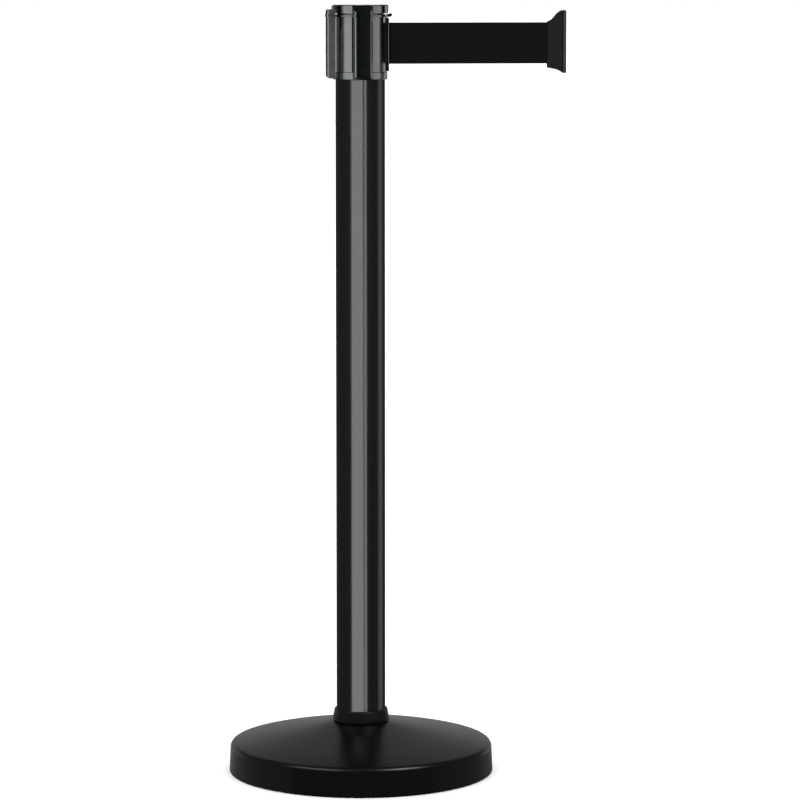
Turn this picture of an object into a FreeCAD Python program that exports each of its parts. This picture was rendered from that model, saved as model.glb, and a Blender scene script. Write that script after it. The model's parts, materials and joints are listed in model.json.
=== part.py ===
"""Retractable belt stanchion: weighted round base, tube post and a belt head with three receivers.

Millimetres. The origin is the centre of the base on the floor, +Z is up and +X is the way the belt
is pulled out. Every function below makes one physical piece, or one set of identical pieces, and the
table at the end writes each to its own STEP file.
"""
import FreeCAD, Part
import math
import os

# ---------------------------------------------------------------- driving dimensions
HEIGHT = 990.0              # floor to the top of the cap
POST_R = 31.75              # 63.5 mm tube
POST_WALL = 1.2
BASE_R = 171.0              # cover wall at the floor
BELT_WIDTH = 52.5
BELT_THICK = 0.6
BELT_MID_Z = 941.1          # centre line of the belt
BELT_OUT_X = 240.0          # where the webbing enters its end clip, with about 200 mm pulled out
GAP = 0.1                   # free gap between seated pieces
REEL_GAP = 0.3              # between the turning coil and the belt inside the head

# base
PAD_IN_R = 144.0
PAD_LEDGE_R = 155.5
PAD_OUT_R = 167.0
PAD_LEDGE_Z = 1.4
WEIGHT_Z0 = 3.2
WEIGHT_R = 166.0
WEIGHT_TOP = 20.0
COVER_WALL = 1.5
COVER_Z0 = 1.5
COVER_DRAFT = 1.2           # the wall leans in by this much up to the shoulder
SHOULDER_R = 7.0
SHOULDER_Z = 38.5
DOME_TOP_Z = 66.0
DOME_HOLE_R = 33.0
LIP_IN_R = 156.0
COLLAR_Z0 = DOME_TOP_Z + 0.3
COLLAR_Z1 = 81.8
COLLAR_R = 36.6
TUBE_Z0 = 17.0              # the tube stands in a turned seat of the weight
TUBE_Z1 = 905.0
BOLT_R = 6.0
BOLT_HEAD_AF = 19.0
BOLT_HEAD_Z = 6.0

# head
HEAD_Z0 = 895.2
HEAD_FLOOR_Z0 = TUBE_Z1
HEAD_FLOOR_Z1 = 908.0
BODY_R = 33.5
BODY_IN_R = 30.5
BAND_R = 34.8               # the lower band that grips the tube
BAND_Z = 904.6
BEAD_R = 35.8
BEAD_Z0 = 974.6
BEAD_Z1 = 978.0
CAP_Z0 = 979.0
CAP_WALL_IN_R = 31.5
CAP_TOP_WALL = 2.5
GROOVE_TIP_Z = 954.0        # four tapering grooves, nearer to the belt's line than to the front and rear
GROOVE_ANGLES = (38.0, 142.0, 218.0, 322.0)
GROOVE_HALF = 2.5
GROOVE_DEPTH_R = 31.6

# receivers: slots that take another stanchion's belt end
RECEIVER_ANGLES = (90.0, 180.0, 270.0)
RECEIVER_HALF = 12.6         # at its root; the flanks draw in towards the face
RECEIVER_DRAFT = 1.5
RECEIVER_ROOT_R = 31.6       # where each flank meets the body in a hollow curve
RECEIVER_FLARE = 2.8
RECEIVER_FACE_R = 43.6
RECEIVER_Z0 = 896.8
RECEIVER_TOP = 984.0
PANEL_FACE_R = 36.0         # inner face of the slot
PANEL_BACK_R = 32.8
PANEL_TOP = HEIGHT - 1.0
TEE_HALF = 10.25            # room for a 20 mm wide end plate
TEE_OUT_R = 41.0
NECK_HALF = 6.1
TEE_FLOOR_Z = 900.0
FUNNEL_Z = 974.0
FUNNEL_HALF = 10.6          # nearly the whole width at the top
BEAD_PROUD = 0.7            # the head's bead runs on round each receiver

# belt outlet
OUTLET_FACE_R = 36.6
OUTLET_HALF = 8.0
OUTLET_Z0 = 905.6
OUTLET_Z1 = 973.2
SOCKET_FLOOR_R = 33.2
SOCKET_HALF = 5.0
SOCKET_Z0 = 908.4
SOCKET_Z1 = 970.6
LUG_Z0 = 974.1              # hooked lug above the outlet
LUG_Z1 = 979.4
LUG_END_X = 40.8
SLIT_HALF = 1.0
GUIDE_R = 3.0
GUIDE_X = 31.5
GUIDE_TOP = 974.0

# reel
SPINDLE_R = 4.0
SPINDLE_TOP = 975.4
PLATE_R = 25.0
PLATE_Z1 = 909.6
SCREW_CIRCLE_R = 20.0
SPOOL_Z0 = 912.1
FLANGE_THICK = 1.2
FLANGE_R = 27.5
DRUM_R = 17.0
DRUM_IN_R = 15.6
DRUM_Z1 = 968.4
BUSH_BORE_R = 4.05
BUSH_R = 6.0
BUSH_FLANGE_R = 8.0
BUSH_LENGTH = 5.0
BELT_LEFT_ON_SPOOL = 1780.0
SPRING_Z0 = 920.0
SPRING_WIDTH = 40.0
SPRING_THICK = 0.35
SPRING_PITCH = 1.15
SPRING_TURNS = 8

# belt end
END_PLATE_X1 = 263.5
END_PLATE_THICK = 3.8
END_PLATE_HALF = 10.0
END_TOP = 982.6
END_BOTTOM = 902.8
NECK_THICK_HALF = 4.2
END_PIN_X = 250.0
END_PIN_R = 1.5
END_PIN_ROOM_R = 2.8
END_SCREW_X = 255.6
END_SCREW_SPREAD = 17.0

ORIGIN = FreeCAD.Vector(0, 0, 0)
UP = FreeCAD.Vector(0, 0, 1)


# ---------------------------------------------------------------- shared shape helpers
def vector(x, y, z):
    return FreeCAD.Vector(x, y, z)


def rounded_wire(points, radii):
    """A closed wire through 3-D corner points in one plane, with an arc of its radius at each corner."""
    count = len(points)
    entries = []
    for index, (corner, radius) in enumerate(zip(points, radii)):
        if radius <= 0:
            entries.append((corner, None, corner))
            continue
        back = (points[index - 1] - corner).normalize()
        ahead = (points[(index + 1) % count] - corner).normalize()
        half_angle = back.getAngle(ahead) / 2
        bisector = (back + ahead).normalize()
        reach = radius / math.tan(half_angle)
        middle = corner + bisector * (radius / math.sin(half_angle) - radius)
        entries.append((corner + back * reach, middle, corner + ahead * reach))
    edges = []
    for index, (start, middle, end) in enumerate(entries):
        if middle is not None:
            edges.append(Part.Arc(start, middle, end).toShape())
        following = entries[(index + 1) % count][0]
        if (following - end).Length > 1e-6:
            edges.append(Part.LineSegment(end, following).toShape())
    return Part.Wire(edges)


def turned(profile, radii=None):
    """The solid of revolution about Z of a closed (radius, height) profile."""
    points = [vector(radius, 0, height) for radius, height in profile]
    wire = rounded_wire(points, radii or [0] * len(points))
    return Part.Face(wire).revolve(ORIGIN, UP, 360)


def ring(outer, inner, low, high):
    return turned([(inner, low), (outer, low), (outer, high), (inner, high)])


def disc(radius, low, high, x=0.0, y=0.0):
    return Part.makeCylinder(radius, high - low, vector(x, y, low))


def block(x0, x1, y0, y1, z0, z1):
    return Part.makeBox(x1 - x0, y1 - y0, z1 - z0, vector(x0, y0, z0))


def plan_prism(outline, radii, low, high):
    """An (x, y) outline with rounded corners, raised from low to high."""
    wire = rounded_wire([vector(x, y, low) for x, y in outline], radii)
    return Part.Face(wire).extrude(vector(0, 0, high - low))


def side_prism(outline, radii, half_width):
    """An (x, z) outline with rounded corners, extruded both ways along Y."""
    wire = rounded_wire([vector(x, -half_width, z) for x, z in outline], radii)
    return Part.Face(wire).extrude(vector(0, 2 * half_width, 0))


def front_prism(outline, x0, x1):
    """A (y, z) outline extruded along X."""
    points = [vector(x0, y, z) for y, z in outline]
    return Part.Face(Part.makePolygon(points + points[:1])).extrude(vector(x1 - x0, 0, 0))


def turned_to(shape, degrees):
    copy = shape.copy()
    copy.rotate(ORIGIN, UP, degrees)
    return copy


def on_circle(count, first_angle=0.0):
    return [first_angle + 360.0 * index / count for index in range(count)]


def hexagon(across_flats, low, high):
    radius = across_flats / math.sqrt(3)
    corners = [(radius * math.cos(math.radians(a)), radius * math.sin(math.radians(a))) for a in on_circle(6)]
    return plan_prism(corners, [0] * 6, low, high)


# ---------------------------------------------------------------- base
def floor_ring():
    """Rubber ring with a ledge that laps under the rolled lip of the cover."""
    return turned(
        [(PAD_IN_R, 0), (PAD_OUT_R, 0), (PAD_OUT_R, PAD_LEDGE_Z), (PAD_LEDGE_R, PAD_LEDGE_Z),
         (PAD_LEDGE_R, WEIGHT_Z0), (PAD_IN_R, WEIGHT_Z0)],
    )


def base_weight():
    """Cast disc: drafted edge, shallow ribbed pocket below, hub above with a seat for the tube."""
    hub_top = 30.0
    hub_r = 42.0
    pocket_roof = 7.0
    body = turned(
        [(0, WEIGHT_Z0), (WEIGHT_R, WEIGHT_Z0), (WEIGHT_R - 1, WEIGHT_TOP - 3), (WEIGHT_R - 4, WEIGHT_TOP),
         (hub_r + 8, WEIGHT_TOP + 1), (hub_r, hub_top), (0, hub_top)],
    )
    pocket = ring(138, 34, WEIGHT_Z0 - 1, pocket_roof)
    rib_half = 5.0
    for angle in on_circle(6, 30):
        rib = block(30, 142, -rib_half, rib_half, WEIGHT_Z0 - 2, pocket_roof + 1)
        pocket = pocket.cut(turned_to(rib, angle))
    seat = disc(POST_R + GAP, TUBE_Z0, hub_top + 1)
    head_room = disc(17.0, WEIGHT_Z0 - 1, BOLT_HEAD_Z + 7.6)
    bolt_way = disc(BOLT_R + 0.5, WEIGHT_Z0, hub_top)
    return body.cut(pocket).cut(seat).cut(head_room).cut(bolt_way)


def cover_edges(inset):
    """Wall, shoulder and ogee dome of the cover, moved inwards by inset, from floor to centre hole."""
    wall_top_r = BASE_R - COVER_DRAFT
    centre_r = wall_top_r - SHOULDER_R
    centre_z = SHOULDER_Z - SHOULDER_R
    end_angle = math.radians(74)
    radius = SHOULDER_R - inset

    def on_arc(angle):
        return vector(centre_r + radius * math.cos(angle), 0, centre_z + radius * math.sin(angle))

    slope = end_angle - math.pi / 2
    first = on_arc(end_angle)
    lead = 36.0
    last = vector(DOME_HOLE_R, 0, DOME_TOP_Z - inset)
    poles = [
        first,
        first + vector(-lead * math.cos(slope), 0, -lead * math.sin(slope)),
        last + vector(lead, 0, -lead * math.tan(math.radians(13.5))),
        last,
    ]
    dome = Part.BezierCurve()
    dome.setPoles(poles)
    foot = vector(BASE_R - inset, 0, COVER_Z0 + inset)
    wall = Part.LineSegment(foot, on_arc(0.0)).toShape()
    arc_middle = on_arc(end_angle / 2)
    shoulder = Part.Arc(on_arc(0.0), arc_middle, first).toShape()
    return foot, [wall, shoulder, dome.toShape()], last


def base_cover():
    """Spun steel cover with a lip rolled in under the weight."""
    outer_foot, outer, outer_top = cover_edges(0.0)
    inner_foot, inner, inner_top = cover_edges(COVER_WALL)
    lip_low = vector(LIP_IN_R, 0, COVER_Z0)
    lip_high = vector(LIP_IN_R, 0, COVER_Z0 + COVER_WALL)
    closing = [
        Part.LineSegment(outer_top, inner_top).toShape(),
        Part.LineSegment(inner_foot, lip_high).toShape(),
        Part.LineSegment(lip_high, lip_low).toShape(),
        Part.LineSegment(lip_low, outer_foot).toShape(),
    ]
    wire = Part.Wire(Part.__sortEdges__(outer + inner + closing))
    return Part.Face(wire).revolve(ORIGIN, UP, 360)


def base_collar():
    """Moulded ring that closes the gap between the cover and the tube."""
    bore = POST_R + GAP
    return turned(
        [(bore, COLLAR_Z0), (COLLAR_R, COLLAR_Z0), (COLLAR_R - 0.4, COLLAR_Z0 + 5.0),
         (POST_R + 2.4, COLLAR_Z1), (bore, COLLAR_Z1)],
        [0, 0.8, 6.0, 1.6, 0.4],
    )


def bottom_plug():
    """Steel plug swaged into the foot of the tube, tapped for the base bolt."""
    return turned(
        [(BOLT_R, TUBE_Z0), (POST_R - POST_WALL, TUBE_Z0), (POST_R - POST_WALL, TUBE_Z0 + 14),
         (14.0, TUBE_Z0 + 14), (14.0, TUBE_Z0 + 22), (BOLT_R, TUBE_Z0 + 22)],
    )


def post_bolt():
    """Hexagon bolt that draws the tube down onto the weight."""
    head = hexagon(BOLT_HEAD_AF, BOLT_HEAD_Z, BOLT_HEAD_Z + 7.5 - 3.4)
    crown = turned([(0, BOLT_HEAD_Z - 1), (11.5, BOLT_HEAD_Z - 1), (11.5, 12), (0, 12)], [0, 2.4, 0, 0])
    shank = disc(BOLT_R, BOLT_HEAD_Z + 4.1, TUBE_Z0 + 20)
    return head.common(crown).fuse(shank)


def bolt_washer():
    return ring(14.0, BOLT_R + 0.3, BOLT_HEAD_Z + 5.8, BOLT_HEAD_Z + 7.6)


def lock_washer():
    """Split spring washer under the bolt head."""
    washer = ring(10.4, BOLT_R + 0.3, BOLT_HEAD_Z + 4.1, BOLT_HEAD_Z + 5.8)
    return washer.cut(block(0, 12, -0.6, 0.6, BOLT_HEAD_Z, BOLT_HEAD_Z + 8))


# ---------------------------------------------------------------- post
def post_tube():
    return ring(POST_R, POST_R - POST_WALL, TUBE_Z0, TUBE_Z1)


def screw_sites():
    return [
        (SCREW_CIRCLE_R * math.cos(math.radians(a)), SCREW_CIRCLE_R * math.sin(math.radians(a)))
        for a in on_circle(3, 60)
    ]


def top_plug():
    """Ribbed moulded cup in the top of the tube, which the head is screwed to."""
    low = TUBE_Z1 - 24
    bore_r = POST_R - POST_WALL
    cup = turned([(bore_r - 2.4, low), (bore_r, low), (bore_r, TUBE_Z1), (0, TUBE_Z1),
                  (0, TUBE_Z1 - 4), (bore_r - 2.4, TUBE_Z1 - 4)])
    bosses = [disc(4.2, TUBE_Z1 - 20, TUBE_Z1 - 3, x, y) for x, y in screw_sites()]
    webs = [turned_to(block(SCREW_CIRCLE_R + 2, bore_r - 1, -1, 1, TUBE_Z1 - 20, TUBE_Z1 - 3), a)
            for a in on_circle(3, 60)]
    cup = cup.fuse(bosses + webs)
    for x, y in screw_sites():
        cup = cup.cut(disc(2.0, TUBE_Z1 - 18, TUBE_Z1 + 1, x, y))
    return cup.removeSplitter()


def head_screws():
    """Three pan-head screws through the spindle plate and the head floor into the top plug."""
    screws = []
    for x, y in screw_sites():
        head = turned([(0, PLATE_Z1), (3.9, PLATE_Z1), (3.4, PLATE_Z1 + 1.2), (0, PLATE_Z1 + 1.6)])
        shank = disc(2.0, TUBE_Z1 - 14, PLATE_Z1)
        screw = head.fuse(shank)
        screw.translate(vector(x, y, 0))
        screws.append(screw)
    return Part.makeCompound(screws)


# ---------------------------------------------------------------- head housing
def receiver_outline(grown, low, high):
    """Plan of a receiver towards +X: flared root, drawn-in flanks, rounded outer corners."""
    root = RECEIVER_HALF + grown
    face_r = RECEIVER_FACE_R + grown
    half_plan = [
        (28, root + RECEIVER_FLARE, 0),
        (RECEIVER_ROOT_R - 2.0, root + RECEIVER_FLARE, 0),
        (RECEIVER_ROOT_R, root, 3.0),
        (face_r, root - RECEIVER_DRAFT, 3.0),
    ]
    left = [(x, y) for x, y, radius in half_plan]
    right = [(x, -y) for x, y in reversed(left)]
    radii = [radius for x, y, radius in half_plan]
    return plan_prism(left + right, radii + radii[::-1], low, high)


def receiver_block():
    """One receiver before its slot is cut, built towards +X: rounded plan crossed with a side outline."""
    plan = receiver_outline(0.0, RECEIVER_Z0, HEIGHT)
    side = side_prism(
        [(28, RECEIVER_Z0), (RECEIVER_FACE_R, RECEIVER_Z0), (RECEIVER_FACE_R, RECEIVER_TOP),
         (PANEL_FACE_R, RECEIVER_TOP), (PANEL_FACE_R, PANEL_TOP), (PANEL_BACK_R, PANEL_TOP),
         (PANEL_BACK_R, BEAD_Z1), (28, BEAD_Z1)],
        [0, 3.2, 3.6, 0, 0.8, 0, 0, 0], RECEIVER_HALF + RECEIVER_FLARE + 1,
    )
    bead = receiver_outline(BEAD_PROUD, BEAD_Z0, BEAD_Z1)
    return plan.common(side).fuse(bead)


def receiver_room():
    """The T-shaped slot, open at the top and flared there to guide an end plate in."""
    tee = block(PANEL_FACE_R, TEE_OUT_R, -TEE_HALF, TEE_HALF, TEE_FLOOR_Z, HEIGHT + 1)
    neck = block(TEE_OUT_R - 1, RECEIVER_FACE_R + 2, -NECK_HALF, NECK_HALF, TEE_FLOOR_Z, HEIGHT + 1)
    funnel = front_prism(
        [(-NECK_HALF, FUNNEL_Z), (NECK_HALF, FUNNEL_Z), (FUNNEL_HALF, RECEIVER_TOP),
         (FUNNEL_HALF, HEIGHT + 1), (-FUNNEL_HALF, HEIGHT + 1), (-FUNNEL_HALF, RECEIVER_TOP)],
        PANEL_FACE_R, RECEIVER_FACE_R + 2,
    )
    return tee.fuse([neck, funnel])


def groove(tip_z, top_z):
    """One tapering groove, built towards +X."""
    return front_prism(
        [(0, tip_z), (GROOVE_HALF, BEAD_Z0 - 1), (GROOVE_HALF, top_z), (-GROOVE_HALF, top_z),
         (-GROOVE_HALF, BEAD_Z0 - 1)],
        GROOVE_DEPTH_R, BEAD_R + 2,
    )


def outlet_block():
    """Raised frame round the belt outlet, with the small hooked lug above it."""
    frame = plan_prism(
        [(29, -OUTLET_HALF), (OUTLET_FACE_R, -OUTLET_HALF), (OUTLET_FACE_R, OUTLET_HALF), (29, OUTLET_HALF)],
        [0, 2.0, 2.0, 0], OUTLET_Z0, OUTLET_Z1,
    )
    lug = side_prism(
        [(30, LUG_Z0), (LUG_END_X - 1.2, LUG_Z0 + 0.6), (LUG_END_X, LUG_Z1), (LUG_END_X - 3.2, LUG_Z1 - 0.4),
         (BEAD_R + 0.2, BEAD_Z1), (30, BEAD_Z1)],
        [0, 2.0, 1.4, 1.0, 0, 0], 6.0,
    )
    return frame.fuse(lug)


def outlet_room():
    """Socket for the neck of the parked belt end, then the slit for the belt itself."""
    belt_low = BELT_MID_Z - BELT_WIDTH / 2
    belt_high = BELT_MID_Z + BELT_WIDTH / 2
    socket = block(SOCKET_FLOOR_R, OUTLET_FACE_R + 1, -SOCKET_HALF, SOCKET_HALF, SOCKET_Z0, SOCKET_Z1)
    slit = block(25, SOCKET_FLOOR_R + 1, -SLIT_HALF, SLIT_HALF, belt_low - 0.8, belt_high + 0.8)
    return socket.fuse(slit)


def head_housing():
    """Moulded housing: reel chamber, skirt over the tube, three receivers and the belt outlet."""
    skirt_r = POST_R + GAP
    shell = turned(
        [(skirt_r, HEAD_Z0), (BAND_R, HEAD_Z0), (BAND_R, BAND_Z), (BODY_R, BAND_Z + 0.6), (BODY_R, BEAD_Z0),
         (BEAD_R, BEAD_Z0), (BEAD_R, BEAD_Z1), (0, BEAD_Z1), (0, HEAD_FLOOR_Z0), (skirt_r, HEAD_FLOOR_Z0)],
        [0, 1.4, 0, 0, 0, 0.8, 1.0, 0, 0, 0],
    )
    receivers = [turned_to(receiver_block(), angle) for angle in RECEIVER_ANGLES]
    outlet = outlet_block()
    tube_room = disc(skirt_r, HEAD_Z0 - 5, HEAD_FLOOR_Z0)
    chamber = disc(BODY_IN_R, HEAD_FLOOR_Z1, BEAD_Z1 + 5)
    guides = [disc(GUIDE_R, HEAD_FLOOR_Z1 - 1, GUIDE_TOP, GUIDE_X, way * (GUIDE_R + SLIT_HALF))
              for way in (1, -1)]
    housing = shell.fuse(receivers + [outlet]).cut(chamber).cut(tube_room).fuse(guides)
    housing = housing.cut(outlet_room())
    for angle in RECEIVER_ANGLES:
        housing = housing.cut(turned_to(receiver_room(), angle))
    for angle in GROOVE_ANGLES:
        housing = housing.cut(turned_to(groove(GROOVE_TIP_Z, HEIGHT), angle))
    for x, y in screw_sites():
        housing = housing.cut(disc(2.2, HEAD_FLOOR_Z0 - 1, HEAD_FLOOR_Z1 + 1, x, y))
    return housing.removeSplitter()


def head_cap():
    """Lid with a lobed rim: notched round the receivers' back panels and grooved between them."""
    shell = turned(
        [(0, HEIGHT), (BEAD_R, HEIGHT), (BEAD_R, CAP_Z0), (CAP_WALL_IN_R, CAP_Z0),
         (CAP_WALL_IN_R, HEIGHT - CAP_TOP_WALL), (0, HEIGHT - CAP_TOP_WALL)],
        [0, 1.0, 0.6, 0, 0, 0],
    )
    boss = ring(8.0, SPINDLE_R + GAP, SPINDLE_TOP - 2, HEIGHT - CAP_TOP_WALL + 0.5)
    tab_ring = ring(BODY_IN_R - GAP, BODY_IN_R - 2.2, BEAD_Z1 - 5, HEIGHT - CAP_TOP_WALL + 0.5)
    tab_slots = [turned_to(block(20, 34, -9, 9, BEAD_Z1 - 6, HEIGHT - CAP_TOP_WALL - 3), angle)
                 for angle in on_circle(4)]
    cap = shell.fuse([boss, tab_ring.cut(Part.makeCompound(tab_slots))])
    clearance = 0.3
    for angle in RECEIVER_ANGLES:
        notch = block(PANEL_BACK_R - clearance, BEAD_R + 2, -RECEIVER_HALF - clearance,
                      RECEIVER_HALF + clearance, CAP_Z0 - 1, HEIGHT + 1)
        cap = cap.cut(turned_to(notch, angle))
    for angle in GROOVE_ANGLES:
        cap = cap.cut(turned_to(groove(CAP_Z0 - 8, HEIGHT + 1), angle))
    return cap.removeSplitter()


# ---------------------------------------------------------------- reel
def spindle():
    """Fixed spindle with its screw plate, a ring groove for the clip and a slot for the spring."""
    plate_low = HEAD_FLOOR_Z1
    body = turned(
        [(0, plate_low), (PLATE_R, plate_low), (PLATE_R, PLATE_Z1), (SPINDLE_R, PLATE_Z1),
         (SPINDLE_R, clip_low()), (clip_groove_r(), clip_low()), (clip_groove_r(), clip_low() + 1.2),
         (SPINDLE_R, clip_low() + 1.2), (SPINDLE_R, SPINDLE_TOP), (0, SPINDLE_TOP)],
    )
    slot = block(0, SPINDLE_R + 1, -0.4, 0.4, SPRING_Z0 - 1, SPRING_Z0 + SPRING_WIDTH + 1)
    body = body.cut(slot)
    for x, y in screw_sites():
        body = body.cut(disc(2.2, plate_low - 1, PLATE_Z1 + 1, x, y))
    return body


def clip_low():
    """Height of the retaining clip, just above the upper bush."""
    return DRUM_Z1 + FLANGE_THICK + 0.8 + 0.2


def clip_groove_r():
    return SPINDLE_R - 0.8


def spindle_clip():
    clip = ring(7.0, clip_groove_r() + 0.05, clip_low() + 0.1, clip_low() + 1.1)
    return clip.cut(block(0, 8, -2.4, 2.4, clip_low() - 1, clip_low() + 3))


def thrust_washer():
    return ring(BUSH_FLANGE_R, BUSH_BORE_R, PLATE_Z1, SPOOL_Z0 - 0.9)


def bush(face_z, way):
    """Flanged bush: its flange stands off face_z against the way the sleeve points."""
    flange = sorted((face_z, face_z - way * 0.8))
    sleeve = sorted((face_z, face_z + way * BUSH_LENGTH))
    return ring(BUSH_FLANGE_R, BUSH_BORE_R, *flange).fuse(ring(BUSH_R, BUSH_BORE_R, *sleeve)).removeSplitter()


def spool_drum():
    """Hollow drum for the spring, with the lower flange and a hub tube for its bush."""
    low = SPOOL_Z0
    floor_top = low + FLANGE_THICK
    hub_top = low + BUSH_LENGTH
    drum = turned(
        [(BUSH_R, low), (FLANGE_R, low), (FLANGE_R, floor_top), (DRUM_R, floor_top), (DRUM_R, DRUM_Z1),
         (DRUM_IN_R, DRUM_Z1), (DRUM_IN_R, floor_top), (BUSH_R + 1.6, floor_top), (BUSH_R + 1.6, hub_top),
         (BUSH_R, hub_top)],
    )
    anchor = block(DRUM_IN_R - 1, DRUM_R + 1, -0.4, 0.4, SPRING_Z0, SPRING_Z0 + SPRING_WIDTH)
    return drum.cut(turned_to(anchor, 180))


def spool_lid():
    """Upper flange, with a spigot that snaps into the drum."""
    low = DRUM_Z1
    top = low + FLANGE_THICK
    spigot_r = DRUM_IN_R - GAP / 2
    lid = turned(
        [(BUSH_R, low - BUSH_LENGTH + FLANGE_THICK), (BUSH_R + 1.6, low - BUSH_LENGTH + FLANGE_THICK),
         (BUSH_R + 1.6, low), (spigot_r - 1.5, low), (spigot_r - 1.5, low - 2), (spigot_r, low - 2),
         (spigot_r, low), (FLANGE_R, low), (FLANGE_R, top), (BUSH_R, top)],
    )
    window = plan_prism([(18, -4), (25, -5.5), (25, 5.5), (18, 4)], [1.5] * 4, low - 1, top + 1)
    for angle in on_circle(6):
        lid = lid.cut(turned_to(window, angle))
    return lid


def power_spring():
    """Flat spiral spring: half-circle arcs whose radius grows by half the pitch each time."""
    centre_shift = SPRING_PITCH / 4
    inner = []
    outer = []
    radius = BUSH_R - 0.2
    for index in range(2 * SPRING_TURNS):
        way = 1 if index % 2 == 0 else -1
        centre_x = -centre_shift * way
        for offset, run in ((0.0, inner), (SPRING_THICK, outer)):
            reach = radius + offset
            start = vector(centre_x + way * reach, 0, SPRING_Z0)
            middle = vector(centre_x, way * reach, SPRING_Z0)
            end = vector(centre_x - way * reach, 0, SPRING_Z0)
            run.append(Part.Arc(start, middle, end).toShape())
        radius += SPRING_PITCH / 2
    first = Part.LineSegment(inner[0].Vertexes[0].Point, outer[0].Vertexes[0].Point).toShape()
    last = Part.LineSegment(inner[-1].Vertexes[-1].Point, outer[-1].Vertexes[-1].Point).toShape()
    wire = Part.Wire(Part.__sortEdges__(inner + outer + [first, last]))
    spiral = Part.Face(wire).extrude(vector(0, 0, SPRING_WIDTH))
    spring_top = SPRING_Z0 + SPRING_WIDTH
    tongue = block(SPINDLE_R - 1.5, inner[0].Vertexes[0].Point.x + 0.1, -0.3, 0.05, SPRING_Z0, spring_top)
    return spiral.fuse(tongue).removeSplitter()


# ---------------------------------------------------------------- belt
def coil_radius():
    """Outside radius of the webbing still wound on the drum."""
    return math.sqrt((DRUM_R + GAP) ** 2 + BELT_LEFT_ON_SPOOL * BELT_THICK * 0.92 / math.pi)


def belt_coil():
    low = BELT_MID_Z - BELT_WIDTH / 2
    return ring(coil_radius(), DRUM_R + GAP, low, low + BELT_WIDTH)


def belt_inner_run():
    """The belt inside the head: off the coil on a tangent, then round the outlet guide."""
    low = BELT_MID_Z - BELT_WIDTH / 2
    half = BELT_THICK / 2
    reel = coil_radius() + half + REEL_GAP
    bend = GUIDE_R + SLIT_HALF
    guide = vector(GUIDE_X, bend, 0)
    angle = math.atan2(guide.y, guide.x) + math.acos((reel + bend) / guide.Length)
    normal = vector(math.cos(angle), math.sin(angle), 0)
    leave = normal * reel
    land = guide - normal * bend
    mid_angle = (angle + math.pi + 1.5 * math.pi) / 2
    run_end = outer_run_x()

    def arc(radius):
        points = [guide + vector(math.cos(a), math.sin(a), 0) * radius
                  for a in (angle + math.pi, mid_angle, 1.5 * math.pi)]
        return Part.Arc(*points).toShape()

    near, far = arc(bend - half), arc(bend + half)
    edges = [
        Part.LineSegment(leave + normal * half, land + normal * half).toShape(),
        near,
        Part.LineSegment(vector(GUIDE_X, half, 0), vector(run_end, half, 0)).toShape(),
        Part.LineSegment(vector(run_end, half, 0), vector(run_end, -half, 0)).toShape(),
        Part.LineSegment(vector(run_end, -half, 0), vector(GUIDE_X, -half, 0)).toShape(),
        far,
        Part.LineSegment(land - normal * half, leave - normal * half).toShape(),
        Part.LineSegment(leave - normal * half, leave + normal * half).toShape(),
    ]
    strip = Part.Face(Part.Wire(Part.__sortEdges__(edges))).extrude(vector(0, 0, BELT_WIDTH))
    strip.translate(vector(0, 0, low))
    return strip


def outer_run_x():
    """Where the run inside the head gives way to the run outside."""
    return SOCKET_FLOOR_R + 1.8


def belt_strip():
    """The belt outside the head, ending in a sewn loop round the clip's pin."""
    low = BELT_MID_Z - BELT_WIDTH / 2
    half = BELT_THICK / 2
    run = block(outer_run_x(), END_PIN_X - END_PIN_R, -half, half, low, low + BELT_WIDTH)
    loop = ring(END_PIN_R + GAP + BELT_THICK, END_PIN_R + GAP, low, low + BELT_WIDTH)
    loop.translate(vector(END_PIN_X, 0, 0))
    pin_room = disc(END_PIN_R + GAP, low - 1, low + BELT_WIDTH + 1, END_PIN_X)
    return run.fuse(loop).cut(pin_room).removeSplitter()


# ---------------------------------------------------------------- belt end
def clip_outline():
    """Side outline of the belt end: straight neck, then an uneven fishtail out to the end plate."""
    plate_x0 = END_PLATE_X1 - END_PLATE_THICK
    belt_high = BELT_MID_Z + BELT_WIDTH / 2
    belt_low = BELT_MID_Z - BELT_WIDTH / 2
    neck_high = vector(BELT_OUT_X, 0, belt_high + 0.8)
    bead = vector(BELT_OUT_X + 1.2, 0, belt_high + 1.6)
    tail_high = vector(plate_x0, 0, END_TOP)
    tail_low = vector(plate_x0, 0, END_BOTTOM + 0.4)
    heel = vector(BELT_OUT_X + 1.0, 0, belt_low - 5.6)
    neck_low = vector(BELT_OUT_X, 0, belt_low - 4.0)
    top = Part.BezierCurve()
    top.setPoles([bead, bead + vector(7.3, 0, 1.2), tail_high - vector(9.2, 0, 1.4), tail_high])
    bottom = Part.BezierCurve()
    bottom.setPoles([tail_low, tail_low + vector(-4.0, 0, 3.0), heel + vector(9.0, 0, -1.2), heel])
    straight = [(tail_high, tail_low), (heel, neck_low), (neck_low, neck_high), (neck_high, bead)]
    edges = [top.toShape(), bottom.toShape()]
    edges += [Part.LineSegment(start, end).toShape() for start, end in straight]
    return Part.Wire(Part.__sortEdges__(edges))


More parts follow.
